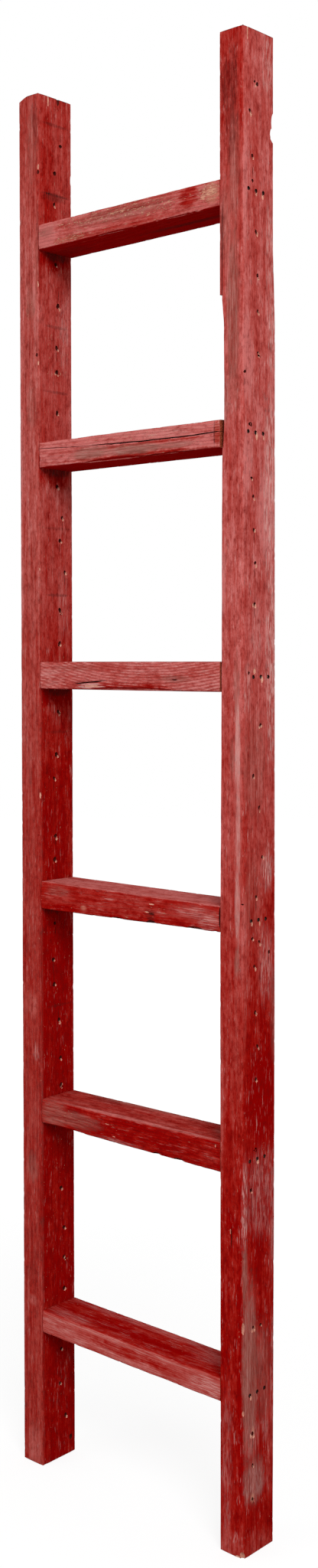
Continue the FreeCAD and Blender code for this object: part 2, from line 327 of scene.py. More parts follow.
    # The nearly black patches are grime, and under the rungs painted shadow.
    for kind, least, thick, coat in (("grey", 0.55, fine.smooth(0.35, 0.55), bare_wood),
                                     ("smear", 0.5, fine.smooth(0.4, 0.6), PALE_DUST),
                                     ("bare", 0.35, lines, BARE_TAN),
                                     ("soot", 0.45, fine.smooth(0.6, 0.4), SOOT_AND_SHADOW)):
        if kind in masks:
            colour = finish.mix(masks[kind] * (least + thick * (1 - least)), colour, coat)

    # flecks where the paint has come off the high grain
    amount = flecks + masks["speck"] * 1.1 if "speck" in masks else flecks
    edge = 1.02 - 0.17 * amount
    chips = fine * 0.5 + specks * 0.7 + streaks * 0.2 + mottle * 0.2
    bare = (chips - edge).smooth(0.0, 0.05)
    colour = finish.mix(bare * unshaded * 0.75, colour, BARE_TAN)
    if along == X:  # a rung's sawn ends were never painted
        is_end = facing[X].maths("ABSOLUTE").smooth(0.92, 0.98)
        colour = finish.mix(is_end, colour, finish.ramp(
            specks, [(0.3, SAWN_DARK), (0.5, SAWN_BROWN), (0.7, SAWN_TAN)]))

    relief = (streaks * 0.35 + fine * 0.45 + specks * 0.2 - late_wood * 0.25 - bare * 0.5
              + mottle * 0.4)
    return finish.surface(
        bump=relief, bump_depth=0.0007,
        **{"Base Color": colour, "Roughness": 0.55 + mottle * 0.25 + bare * 0.1,
           "Specular IOR Level": 0.0})


def on_face(face, level, reach, **kinds):
    """Patches on one face of a board, which looks along an axis and lies at a level.

    For each kind, rows of (place, place, radius, radius, strength) along the other two axes."""
    patches = []
    for kind, rows in kinds.items():
        for *centre, wide, tall, strength in rows:
            radii = [wide, tall]
            centre.insert(face, level)
            radii.insert(face, reach)
            patches.append((kind, centre, radii, strength))
    return patches


def raw_wood(name, along, light, dark, seed):
    """Unpainted wood, where it has torn or broken."""
    finish = Finish(name)
    here = finish.here()
    fibres = finish.noise(finish.place(stretched(along, 0.7, 9), (seed, 0, seed), here),
                          detail=3, roughness=0.6)
    stain = finish.noise(finish.place(stretched(along, 5, 12), (0, seed, 0), here), detail=2)
    colour = finish.ramp(fibres * 0.7 + stain * 0.3, [(0.3, dark), (0.65, light)])
    return finish.surface(bump=fibres, bump_depth=0.0006,
                          **{"Base Color": colour, "Roughness": 0.7 + stain * 0.2,
                             "Specular IOR Level": 0.03})


def screw_steel():
    """Dull zinc, dimmed by dust and the paint that ran into the holes, and darkened as painted
    shade deep in the holes.
    """
    finish = Finish("screw_steel")
    here = finish.here()
    cloud = finish.noise(here, scale=900.0, detail=3)
    scratches = finish.noise(finish.place((200, 2500, 2500), (0, 0, 0), here), detail=2)
    colour = finish.ramp(cloud, [(0.35, (0.030, 0.007, 0.005)), (0.65, (0.090, 0.045, 0.035))])
    return finish.surface(bump=scratches, bump_depth=0.0002,
                          **{"Base Color": colour, "Metallic": cloud.smooth(0.4, 0.6) * 0.5,
                             "Roughness": 0.5 + scratches * 0.3})


# -------- working the wood
CRISP_MM = 0.8  # how far a crisp edge is eased
RIM_MM = 8  # how far in from a long edge the wear reaches


def pick(*objects):
    """Makes these the only things selected, the first of them active, in object mode."""
    pick_nothing()
    for obj in objects:
        obj.select_set(True)
    bpy.context.view_layer.objects.active = objects[0]


def pick_nothing():
    if bpy.context.object and bpy.context.object.mode != "OBJECT":
        bpy.ops.object.mode_set(mode="OBJECT")
    bpy.ops.object.select_all(action="DESELECT")


def settle():
    """Turns the active object's place, turn and size into its mesh."""
    bpy.ops.object.transform_apply(location=True, rotation=True, scale=True)


def edit_parts(obj, parts, select_mode, wanted, work):
    pick(obj)
    for kind in (obj.data.polygons, obj.data.edges, obj.data.vertices):
        kind.foreach_set("select", [False] * len(kind))
    for part in parts:
        part.select = bool(wanted(part))
    bpy.context.tool_settings.mesh_select_mode = select_mode
    bpy.ops.object.mode_set(mode="EDIT")
    work()
    bpy.ops.object.mode_set(mode="OBJECT")


def edit_edges(obj, wanted, work):
    """Does edit-mode work on the edges whose two ends pass a test."""
    edit_parts(obj, obj.data.edges, (False, True, False),
               lambda edge: wanted(*(obj.data.vertices[end].co for end in edge.vertices)), work)


def edit_points(obj, wanted, work):
    """Does edit-mode work on the vertices whose place passes a test."""
    edit_parts(obj, obj.data.vertices, (True, False, False),
               lambda point: wanted(point.co), work)


def resize(obj, wanted, value, centre=(0, 0, 0)):
    """Draws the vertices that pass a test towards a centre, or away from it."""
    edit_points(obj, wanted,
                lambda: bpy.ops.transform.resize(value=value, center_override=centre))


def rough_up(obj, offset_mm, seed, wanted=lambda at: True):
    """Moves the vertices that pass a test by chance."""
    edit_points(obj, wanted,
                lambda: bpy.ops.transform.vertex_random(offset=offset_mm * MM, seed=seed))


def runs_along(a, b, axis):
    step = [abs(a[place] - b[place]) for place in (X, Y, Z)]
    return step[axis] == max(step)


def cut_up(obj, axis, pieces, shortest_mm=10):
    """Cuts the longer edges that run along an axis into so many pieces."""
    edit_edges(obj, lambda a, b: runs_along(a, b, axis) and (a - b).length > shortest_mm * MM,
               lambda: bpy.ops.mesh.subdivide(number_cuts=pieces - 1))


def add_block(name, low, high):
    """A block between two corners."""
    low, high = Vector(low), Vector(high)
    pick_nothing()
    bpy.ops.mesh.primitive_cube_add(size=1, location=(low + high) / 2)
    block = bpy.context.object
    block.name = block.data.name = name
    block.scale = high - low
    settle()
    return block


def displace(obj, name, depth_mm, direction, group=None, texture=None, guide=None, mid=0.0):
    modifier = obj.modifiers.new(name, "DISPLACE")
    modifier.direction = direction
    modifier.mid_level = mid
    modifier.strength = depth_mm * MM
    if texture:
        modifier.texture = texture
        modifier.texture_coords = "OBJECT"
        modifier.texture_coords_object = guide
    if group:
        modifier.vertex_group = group
    pick(obj)
    bpy.ops.object.modifier_apply(modifier=name)


def wear(obj, name, along, across_mm, along_mm, depth_mm, group=None, contrast=1.0,
         brightness=1.0, seed=0, direction="NORMAL", mid=0.0):
    """Moves the surface inwards by a noise that is stretched along the grain."""
    guide = bpy.data.objects.new(name, None)
    link(guide)
    guide.scale = [1 / factor for factor in stretched(along, across_mm, along_mm)]
    guide.location = (seed * 0.37, seed * 0.21, seed * 0.53)
    bpy.context.view_layer.update()
    texture = bpy.data.textures.new(name, "CLOUDS")
    texture.noise_scale = 1.0
    texture.noise_depth = 2
    texture.contrast = contrast
    texture.intensity = brightness
    texture.use_clamp = True
    displace(obj, name, -depth_mm, direction, group, texture, guide, mid)
    bpy.data.objects.remove(guide)


def rub_down(board, name, direction, depth_mm, share):
    """Pushes the surface along an axis, by a share of the depth that each place gives."""
    group = board.vertex_groups.new(name=name)
    for point in board.data.vertices:
        part = share(point.co)
        if part > 0:
            group.add([point.index], min(1.0, part), "REPLACE")
    displace(board, name, depth_mm, direction, group=name)


def carve(board, cutter):
    """Takes the cutter's shape out of the board; the cut shows the cutter's own finish."""
    modifier = board.modifiers.new("carve", "BOOLEAN")
    modifier.operation = "DIFFERENCE"
    modifier.solver = "MANIFOLD"
    modifier.material_mode = "TRANSFER"
    modifier.object = cutter
    pick(board)
    bpy.ops.object.modifier_apply(modifier="carve")
    bpy.data.objects.remove(cutter)


def joined(pieces):
    """One object of several, with its place in its mesh."""
    pick(*pieces)
    if len(pieces) > 1:
        bpy.ops.object.join()
    whole = bpy.context.object
    settle()
    return whole


def copy_of(pattern, place, turn=(0, 0, 0), size=(1, 1, 1)):
    """A copy with a mesh of its own."""
    twin = pattern.copy()
    twin.data = pattern.data.copy()
    link(twin)
    twin.location, twin.rotation_euler, twin.scale = place, turn, size
    return twin


def saw_board(node, along, finish, cuts, soft_mm, soft, taper=None):
    """A board in the place of a CAD node, cut fine enough to wear.

    cuts gives the pieces along each axis, and soft tells from a long edge's two sides, -1 or 1
    each, whether it is rubbed round; the others stay crisp. taper gives a rung's height at its
    left and right end, in millimetres."""
    low, high = (Vector(corner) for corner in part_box(node))
    centre, half = (low + high) / 2, (high - low) / 2
    board = add_block(node + "_board", low, high)
    board.data.materials.append(finish)
    if taper:
        for side, height in zip((-1, 1), taper):
            resize(board, lambda at: (at.x - centre.x) * side > 0,
                   (1, 1, height * MM / 2 / half.z), centre)
    across = [axis for axis in (X, Y, Z) if axis != along]

    def sides(at):
        return [1 if at[axis] > centre[axis] else -1 for axis in across]

    weights = board.data.attributes.new("bevel_weight_edge", "FLOAT", "EDGE")
    for edge in board.data.edges:
        a, b = (board.data.vertices[end].co for end in edge.vertices)
        is_soft = runs_along(a, b, along) and soft(*sides((a + b) / 2))
        weights.data[edge.index].value = 1 if is_soft else CRISP_MM / soft_mm
    eased = board.modifiers.new("eased", "BEVEL")
    eased.limit_method = "WEIGHT"
    eased.width = soft_mm * MM
    eased.segments = 4
    pick(board)
    bpy.ops.object.modifier_apply(modifier="eased")
    for axis in across:
        cut_up(board, axis, cuts[axis])
    for pieces in cuts[along]:
        cut_up(board, along, pieces, 5)

    def deep(at, axis):
        """How far inside the board's side a place is."""
        reach = half[axis]
        if taper and axis == Z:
            share = (at.x - low.x) / (high.x - low.x)
            reach = (taper[0] + (taper[1] - taper[0]) * share) / 2 * MM
        return reach - abs(at[axis] - centre[axis])

    rims = board.vertex_groups.new(name="rims")
    for point in board.data.vertices:
        near = 1 - max(deep(point.co, axis) for axis in across) / (RIM_MM * MM)
        if near > 0:
            rims.add([point.index], near * (1 if soft(*sides(point.co)) else 0.3), "REPLACE")
    return board


def weather(board, along, uneven, rubbed, chip_mm, seeds):
    """The waves, rubbed edges and chips of a board. Waves are (mm across, mm along)."""
    wear(board, "uneven", along, *uneven, 0.3, seed=seeds[0])
    wear(board, "rubbed", along, *rubbed, 1.0, group="rims", contrast=1.5, seed=seeds[1])
    wear(board, "chipped", along, 4, 8, chip_mm, group="rims", contrast=4, brightness=0.1,
         seed=seeds[2])


def flatten_ends(board, foot, top):
    """Brings back what stands proud of the sawn ends."""
    resize(board, lambda at: at.z < foot, (1, 1, 0), (0, 0, foot))
    resize(board, lambda at: at.z > top, (1, 1, 0), (0, 0, top))


def finish_board(board, node):
    """Puts the board in its CAD node's place, smooth between its real edges."""
    board.vertex_groups.clear()
    pick(board)
    bpy.ops.object.shade_smooth_by_angle(angle=math.radians(32))
    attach(board, "root")
    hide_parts(node)


# -------- the room
def seen_directly(finish):
    """1 where the camera, a gloss or a clear thing looks at it, 0 where light falls on it."""
    path = finish.node("ShaderNodeLightPath")
    seen = Val(finish, path.outputs["Is Camera Ray"])
    for name in ("Is Glossy Ray", "Is Transmission Ray"):
        seen = seen.maths("MAXIMUM", Val(finish, path.outputs[name]))
    return seen


def make_room():
    """White all round to look at, a plain soft light, and a floor that keeps the shadow."""
    world = bpy.context.scene.world or bpy.data.worlds.new("studio")
    bpy.context.scene.world = world
    sky = Finish("studio", world)
    light = sky.node("ShaderNodeBackground", None, (1, 1, 1, 1), WORLD_LIGHT)
    white = sky.node("ShaderNodeBackground", None, (1, 1, 1, 1), 1.0)
    both = sky.node("ShaderNodeMixShader", None, seen_directly(sky), light.outputs[0],
                    white.outputs[0])
    sky.node("ShaderNodeOutputWorld", None, both.outputs[0])

    pick_nothing()
    bpy.ops.mesh.primitive_circle_add(vertices=96, radius=9, fill_type="NGON")
    floor = bpy.context.object
    floor.name = "floor"
    finish = Finish("white_floor")
    matt = finish.node("ShaderNodeBsdfDiffuse", None, Color=(0.5, 0.5, 0.5, 1))
    pale = finish.node("ShaderNodeBsdfDiffuse", None, Color=(0.95, 0.95, 0.95, 1))
    bright = finish.node("ShaderNodeEmission", None, Color=(1, 1, 1, 1), Strength=1.05)
    white = finish.length(finish.here()).smooth(0.3, 2.2) * (1 - FLOOR_WHITE) + FLOOR_WHITE
    seen = finish.node("ShaderNodeMixShader", None, white, pale.outputs[0], bright.outputs[0])
    shown = finish.node("ShaderNodeMixShader", None, seen_directly(finish), matt.outputs[0],
                        seen.outputs[0])
    finish.node("ShaderNodeOutputMaterial", None, shown.outputs[0])
    floor.data.materials.append(finish.material)


# -------- shapes that are cut out
def nail_hole(finish):
    """What a pulled lath nail leaves: a torn crater, then a narrow shaft. Opens to +X."""
    pick_nothing()
    bpy.ops.mesh.primitive_cone_add(vertices=10, radius1=1.3 * MM, radius2=5.2 * MM,
                                    depth=24 * MM, location=(-10 * MM, 0, 0),
                                    rotation=(0, math.pi / 2, 0))
    hole = bpy.context.object
    settle()
    cut_up(hole, X, 4, 20)
    resize(hole, lambda at: -18 * MM < at.x < -2 * MM, (1, 0.66, 0.66))
    rough_up(hole, 1.2, 4, lambda at: at.x > -6 * MM)
    hole.data.materials.append(finish)
    return hole


def torn_lip(finish):
    """The boat-shaped hollow beside a nail hole, where a splinter came away. Opens to +X."""
    pick_nothing()
    bpy.ops.mesh.primitive_ico_sphere_add(subdivisions=2, radius=1 * MM)
    lip = bpy.context.object
    lip.scale = (1.0, 1.5, 2.5)
    settle()
    edit_points(lip, lambda at: at.z > 1.2 * MM,
                lambda: bpy.ops.transform.resize(value=(0.8, 0.6, 1.2)))
    rough_up(lip, 0.45, 7)
    lip.data.materials.append(finish)
    return lip


def carve_nails(board, face, front, nails, width, height_range, dark, fresh, seed):
    """Old nail holes in a face that looks to +X. nails are (mm from the front, height mm) and
    how many splinters came away, where it isn't one."""
    chance = random.Random(seed)
    hole, lip = nail_hole(dark), torn_lip(fresh)
    lips, holes, splits = [], [], []
    for across, height, *torn in nails:
        for piece in range(torn[0] if torn else 1):
            side = 1 if piece == 0 else chance.choice((-1, 1))
            lips.append(copy_of(
                lip, (face - 0.1 * MM, front + (across + side * chance.uniform(1.6, 2.8)) * MM,
                      (height - chance.uniform(1.0, 4.0)) * MM),
                (chance.uniform(-0.4, 0.4), 0, 0),
                (1, chance.uniform(0.85, 1.4), chance.uniform(0.7, 1.35))))
        holes.append(copy_of(
            hole, (face, front + across * MM, height * MM),
            (chance.choice((0, math.pi)) + chance.uniform(-0.5, 0.5), 0, 0),
            (1, width * chance.uniform(0.65, 1.0), chance.uniform(*height_range))))
        if chance.random() < 0.35:
            off = chance.choice((-1, 1)) * chance.uniform(7, 14)
            splits.append((face / MM, front / MM + across + chance.uniform(-0.8, 0.8),
                           height + off, 1.2, 0.4, chance.uniform(5, 10)))
    for pattern in (hole, lip):
        bpy.data.objects.remove(pattern)
    carve_hollows(board, splits, dark, seed, 0.1)
    for cutter in (joined(lips), joined(holes)):
        rough_up(cutter, 0.8, seed, lambda at: at.x > face - 6 * MM)
        carve(board, cutter)


def carve_screw_seats(board, side, outer, finish):
    """Where the screws go in: a sink, a square countersink and a clear hole, six rows of three."""
    shank, mouth, pitch, length = 2.4, 2.5, 14, 70
    pick_nothing()
    bpy.ops.mesh.primitive_cylinder_add(vertices=20, radius=shank * MM, depth=length * MM,
                                        rotation=(0, math.pi / 2, 0))
    seat = bpy.context.object
    settle()
    cut_up(seat, X, 5, 60)
    for old, new, radius in ((21, -0.9, mouth), (7, -2.2, 4.3), (-7, -2.7, 4.1),
                             (-21, -4.4, shank)):
        edit_points(seat, lambda at: abs(at.x - old * MM) < 0.1 * MM,
                    lambda: (bpy.ops.transform.translate(value=((new - old) * MM, 0, 0)),
                             bpy.ops.transform.resize(value=(1, radius / shank, radius / shank),
                                                      center_override=(0, 0, 0))))
    resize(seat, lambda at: at.x > 30 * MM, (1, mouth / shank, mouth / shank))
    rough_up(seat, 0.8, 6, lambda at: at.x > -1 * MM)
    seat.data.materials.append(finish)
    seats, chance = [], random.Random(side)
    for rung, shift in zip(RUNGS, SCREW_SHIFTS):
        low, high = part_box(f"{rung}_screws_{'left' if side < 0 else 'right'}")
        for row in (-1, 0, 1):
            seats.append(copy_of(seat, (outer, (shift + row * pitch) * MM, (low[2] + high[2]) / 2),
                                 (chance.uniform(0, 6.2), 0, 0 if side > 0 else math.pi)))
    bpy.data.objects.remove(seat)
    carve(board, joined(seats))


def carve_hollows(board, hollows, finish, seed, ragged_mm=0.4):
    """Chips, bites and tears. hollows are rows of centre and radii, in millimetres."""
    small = all(max(row[3:]) < 10 for row in hollows)
    pick_nothing()
    bpy.ops.mesh.primitive_ico_sphere_add(subdivisions=2 if small else 3, radius=1)
    pattern = bpy.context.object
    hollow = joined([copy_of(pattern, [at * MM for at in row[:3]], (0, 0, 0),
                             [reach * MM for reach in row[3:]]) for row in hollows])
    bpy.data.objects.remove(pattern)
    rough_up(hollow, ragged_mm, seed)
    hollow.data.materials.append(finish)
    carve(board, hollow)


def follow(blade, along, stations, wanted, shift):
    """Cuts a block at each station and moves the points there that are wanted."""
    for run, *_ in stations[1:-1]:
        plane_co, plane_no = [0, 0, 0], [0, 0, 0]
        plane_co[along], plane_no[along] = run * MM, 1
        edit_edges(blade, lambda a, b: True,
                   lambda: bpy.ops.mesh.bisect(plane_co=plane_co, plane_no=plane_no))
    for run, over in stations:
        move = [0, 0, 0]
        move[shift] = over * MM
        edit_points(blade, lambda at: abs(at[along] - run * MM) < 0.01 * MM and wanted(at),
                    lambda: bpy.ops.transform.translate(value=move))


def carve_crack(board, along, stations, face, depth, width, finish, seed=1):
    """A crack in a front face. stations are (run, rise) in mm, along the board and across it."""
    rise = Z if along == X else X
    low, high = [0, 0, 0], [0, 0, 0]
    low[along], high[along] = stations[0][0] * MM, stations[-1][0] * MM
    low[rise], high[rise] = -width / 2 * MM, width / 2 * MM
    low[Y], high[Y] = face - 1 * MM, face + depth * MM
    blade = add_block("crack", low, high)
    follow(blade, along, stations, lambda at: True, rise)
    for run, over in (stations[0], stations[-1]):
        thin, tip = [1, 1, 1], [0, 0, 0]
        thin[rise], tip[rise] = 0.12, over * MM
        resize(blade, lambda at: abs(at[along] - run * MM) < 0.01 * MM, thin, tip)
    cut_up(blade, along, 8, 8)
    wear(blade, "torn", along, 3, 9, width * 0.8, seed=seed, direction="XYZ"[rise], mid=0.5)
    blade.data.materials.append(finish)
    carve(board, blade)


def carve_lost_sliver(board, inner, front, stations, deep_mm, finish):
    """The strip split off a rail's inner-front edge. stations are (height, width) in mm."""
    blade = add_block("sliver", (inner - 5 * MM, front - 2 * MM, stations[-1][0] * MM),
                      (inner, front + deep_mm * MM, stations[0][0] * MM))
    follow(blade, Z, stations[::-1], lambda at: at.x > inner - 1 * MM, X)
    edit_points(blade, lambda at: at.y > front and at.z < 1250 * MM,
                lambda: bpy.ops.transform.translate(value=(0, -9 * MM, 0)))
    for _ in range(3):
        cut_up(blade, Z, 2, 9)
    cut_up(blade, Y, 6, 9)
    wear(blade, "splintered", Z, 3, 12, 1.1, seed=9, direction="X", mid=0.5)
    blade.data.materials.append(finish)
    carve(board, blade)


# -------- the rails
# Where the boards' faces lie, in millimetres, or just outside them so that a mark goes over them.
FRONT, LEFT_INNER, RIGHT_OUTER = -31, -155, 192
# How far back each rung's screws stand from the stock's middle, from the lowest rung.
SCREW_SHIFTS = (-4, -4, -1.5, 3, -7, -6.5)
RAIL_CUTS, RAIL_ROUND_MM = (9, 15, (60, 10)), 3.2
# Old nail holes, as carve_nails takes them.
LEFT_NAILS = [
    (41.5, 1768, 0), (30.5, 1730, 0), (29, 1689), (32, 1610), (36, 1556), (33, 1500),
    (33.5, 1468, 2), (33.5, 1413.5), (33, 1316), (42, 1275), (38, 1244), (47, 1202),
    (37.5, 1151, 2), (36.5, 1106), (34, 1015, 2), (30, 958), (25.5, 926), (27.5, 848.5), (26, 817),
    (26, 731, 0), (23, 682), (24.5, 648.5), (33, 599), (35.5, 547), (36.5, 510, 2), (36, 369.5),
    (41.5, 314), (41, 274, 2), (41, 230.5), (35.5, 149), (33, 102), (43, 55.5), (53, 22, 0)]
RIGHT_NAILS = [
    (23, 1768), (28, 1766, 0), (14, 1732), (18.5, 1680), (25.5, 1592), (28.5, 1541), (28.5, 1499),
    (29.5, 1450, 2), (5.5, 1425, 0), (16.5, 1364, 0), (17.5, 1300.5), (20.5, 1279), (21.5, 1239),
    (24, 1200), (23, 1151, 2), (34.5, 1006, 2), (20.5, 945.5), (31.5, 907), (37.5, 847), (26, 800),
    (19, 750), (32, 745), (51, 730, 0), (22.5, 716.5), (24, 660.5), (28.5, 619), (25.5, 579),
    (25.5, 494, 0), (16, 446.5), (20.5, 278.5, 2), (34.5, 277.5), (19, 148.5, 2), (19.5, 109.5),
    (19, 68.5, 2), (19, 1651, 0), (14, 1364, 0), (12, 1069, 0), (25, 493, 0)]
# Hollows in the rails, as carve_hollows takes them.
LEFT_DARK_HOLLOWS = [
    (-155.5, 6, 1828, 2, 2.5, 8), (-155.5, -30.5, 1742, 2, 1.5, 9), (-156.5, -30, 1726, 2, 2, 3),
    (-159, -31, 1487, 3, 1, 3), (-155.5, 3, 1655, 2, 0.4, 10)]
LEFT_TORN_HOLLOWS = [
    (-155.5, -12, 1824, 1.6, 1.2, 9), (-156.5, -29.8, 1733, 1.6, 1.6, 4),
    (-157, -30, 1580, 1.5, 1.4, 4.5), (-157, -30.3, 1476, 1.4, 1.3, 3.5),
    (-156.5, -30, 1206, 1.4, 1.4, 4), (-156.5, -30, 905, 1.4, 1.4, 5)]
LEFT_WORN_HOLLOWS = [(-155.5, 31, 1727, 3, 2.2, 8), (-155.5, 31, 640, 2, 1.6, 6)]
RIGHT_DARK_HOLLOWS = [
    (173.5, -31, 389, 0.8, 1.5, 14), (190.5, -30, 793, 2.5, 1.4, 1)]
RIGHT_TORN_HOLLOWS = [
    (192, -6, 1637.5, 1.5, 1.6, 3.4), (192, 6.5, 1636, 1.5, 2, 3.6), (192, -5, 1351, 1.6, 2.4, 5),
    (192, 8.5, 1350, 1.4, 1.4, 3), (192, -9, 1071, 1.6, 2.4, 4), (192, 5, 1061, 1.6, 2.6, 4),
    (192, -14, 768, 1.3, 1.4, 3.2), (192, 1, 767, 1.3, 1.5, 3.2), (192, -2.5, 478, 1.4, 2.2, 3),
    (192, -16, 193, 1.3, 1.5, 3), (171.8, -31, 396, 0.9, 0.6, 4), (192, -22.5, 1824, 1.5, 1.1, 11),
    (190.6, -29.4, 281, 1.8, 1.8, 7.5), (190.9, -29.6, 178, 1.6, 1.6, 3.5),
    (189.5, -29.5, 3, 3, 3, 6), (184, -31, 1, 4, 1.5, 2)]
RIGHT_WORN_HOLLOWS = [
    (192, 31, 1713, 22, 10.8, 11), (192, 31, 1727, 22, 8.6, 15), (192, 31, 1106, 2, 1.6, 5),
    (192, 31, 1655, 2, 1.5, 6)]
# The sliver lost from the right rail's inner-front edge, and the crack that runs on above it.
SLIVER = [(1519, 3.5), (1510, 4.3), (1487, 6.6), (1414, 7.2), (1360, 7.1), (1327, 4.1),
          (1233, 3.5), (1050, 2.8), (773, 0.8), (690, 0)]
SLIVER_CRACK = [(1495, 159), (1519, 159.2), (1560, 159.3), (1600, 159.8), (1650, 161.8)]
# Laths left dark seams across the left rail's inner face, as (height, strength), and under the
# rungs a painted shadow darkens it.
LATH_SEAMS = ((1793, 0.5), (1701, 0.95), (1527, 0.4), (1441, 0.45), (1260, 0.35), (1171, 0.5),
              (988, 0.35), (619, 0.35))
RUNG_UNDERSIDES = (181, 464, 753, 1045, 1337, 1623)
LEFT_MARKS = on_face(
    Y, FRONT, 5,
    soot=[(-176, 258, 15, 16, 0.22)],
    grey=[(-174, 700, 60, 2200, 0.16), (-167, 1765, 14, 60, 0.4), (-170, 1556, 13, 30, 0.5),
          (-170, 1420, 13, 40, 0.4), (-160, 1600, 4, 60, 0.4), (-173, 402, 14, 24, 0.5)],
    chalk=[(-191, 1330, 5, 330, 0.4), (-191, 600, 4, 600, 0.25), (-174, 622, 15, 20, 0.7),
           (-174, 222, 9, 9, 0.9), (-172, 26, 19, 34, 0.45), (-174, 130, 10, 40, 0.25)],
    scuff=[(-166, 560, 6, 14, 0.5)],
    speck=[(-172, 1545, 10, 26, 0.5)]
) + on_face(
    X, LEFT_INNER, 4,
    chalk=[(28, 1420, 9, 160, 0.4), (28, 830, 6, 60, 0.5)],
    scuff=[(16, 1520, 10, 60, 0.3), (14, 1160, 12, 50, 0.25)],
    speck=[(5, 1500, 26, 60, 0.35), (5, 480, 26, 14, 0.6)]
) + [
    ("soot", (-155, 0, 1698), (5, 22, 7), 0.6), ("soot", (-162, -31, 1796), (7, 8, 24), 0.35),
    ("soot", (-157, -31, 1640), (3, 4, 60), 0.35), ("soot", (-174, 0, 1831), (40, 60, 4), 0.95),
    ("deep", (-156, -31, 500), (6, 4, 420), 0.4)]
LEFT_MARKS += [("soot", (LEFT_INNER, 2, at), (5, 26, 2.4), depth) for at, depth in LATH_SEAMS]
# Painted shadow under each rung on the left rail's inner face: a deeper red, and a dark band right
# below the rung.
for at in RUNG_UNDERSIDES:
    LEFT_MARKS += [("deep", (LEFT_INNER, 0, at - 6), (4, 40, 18), 0.8),
                   ("soot", (LEFT_INNER, 4, at - 2), (5, 26, 8), 0.7)]
RIGHT_MARKS = on_face(
    Y, FRONT, 5,
    soot=[(166, 1766, 11, 36, 0.5), (177, 1764, 8, 40, 0.6), (173, 1740, 12, 78, 0.45),
          (160, 1590, 4, 40, 0.3)],
    grey=[(178, 1660, 10, 80, 0.4), (176, 1500, 11, 120, 0.65), (165, 1600, 9, 60, 0.35),
          (166, 1400, 8, 30, 0.3), (180, 1410, 7, 40, 0.35), (182, 1050, 5, 50, 0.35),
          (182, 722, 5, 20, 0.6), (175, 965, 4, 30, 0.5)],
    chalk=[(161, 1180, 4, 40, 0.9), (164, 120, 8, 60, 0.3), (168, 12, 24, 24, 0.4),
           (158, 560, 4, 120, 0.4), (158, 850, 4, 120, 0.4)],
    scuff=[(165, 1390, 7, 34, 0.4), (166, 100, 9, 110, 0.2)],
    smear=[(183, 985, 4.5, 62, 0.7), (184, 880, 4, 60, 0.4), (183, 790, 4, 50, 0.5)],
    speck=[(174, 540, 24, 120, 0.12)],
    deep=[(188, 230, 7, 190, 0.5), (174, 405, 10, 16, 0.6)]
) + on_face(
    X, RIGHT_OUTER, 4,
    soot=[(2, 222, 5, 18, 0.25)],
    grey=[(-10, 960, 24, 70, 0.3), (-14, 800, 16, 60, 0.25), (27, 650, 6, 60, 0.4),
          (-27, 345, 6, 40, 0.7), (-19, 225, 20, 115, 0.75), (8, 215, 16, 70, 0.4),
          (-10, 92, 24, 34, 0.55)],
    chalk=[(-26, 1640, 5, 90, 0.5), (-22, 1440, 10, 60, 0.6), (-22, 1320, 9, 40, 0.5),
           (14, 1260, 17, 60, 0.7), (-28, 720, 6, 130, 0.7), (-18, 210, 17, 90, 0.6),
           (-14, 145, 18, 30, 0.7), (0, 8, 40, 20, 0.5), (20, 120, 12, 70, 0.5)],
    scuff=[(16, 1790, 13, 40, 0.5), (20, 1580, 10, 60, 0.45), (23, 1480, 8, 60, 0.7),
           (20, 1290, 13, 130, 0.75), (22, 1090, 11, 150, 0.7), (-6, 1110, 10, 50, 0.3),
           (-22, 1050, 7, 40, 0.4), (14, 830, 13, 26, 0.6), (12, 715, 15, 50, 0.4),
           (-28, 425, 6, 70, 0.6), (4, 440, 40, 56, 0.3), (12, 150, 7, 24, 0.3),
           (-14, 150, 14, 34, 0.3), (-10, 88, 24, 26, 0.5), (24, 390, 6, 60, 0.3),
           (26, 200, 5, 90, 0.3)],
    speck=[(0, 60, 40, 70, 0.1), (0, 480, 40, 26, 0.3)],
    bare=[(-12, 150, 3, 8, 0.9), (-13, 70, 4, 7, 0.9), (-10, 276, 3, 5, 0.8)],
    deep=[(2, 556, 30, 60, 0.5), (-4, 290, 14, 12, 0.5), (2, 78, 9, 9, 0.8)]
) + [
    ("soot", (174, 0, 1831), (40, 60, 4), 0.95), ("scuff", (183, -31, 900), (6, 4, 200), 0.2)]


def saw_rail(node, finish, seed):
    """A rail whose right-hand front edge is the one that hands and blankets rub."""
    low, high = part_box(node)
    board = saw_board(node, Z, finish, RAIL_CUTS, RAIL_ROUND_MM,
                      lambda x_side, y_side: x_side > 0 > y_side)
    weather(board, Z, (40, 300), (9, 60), 2.0, (seed, seed + 1, seed + 2))
    flatten_ends(board, low[2], high[2])
    return board


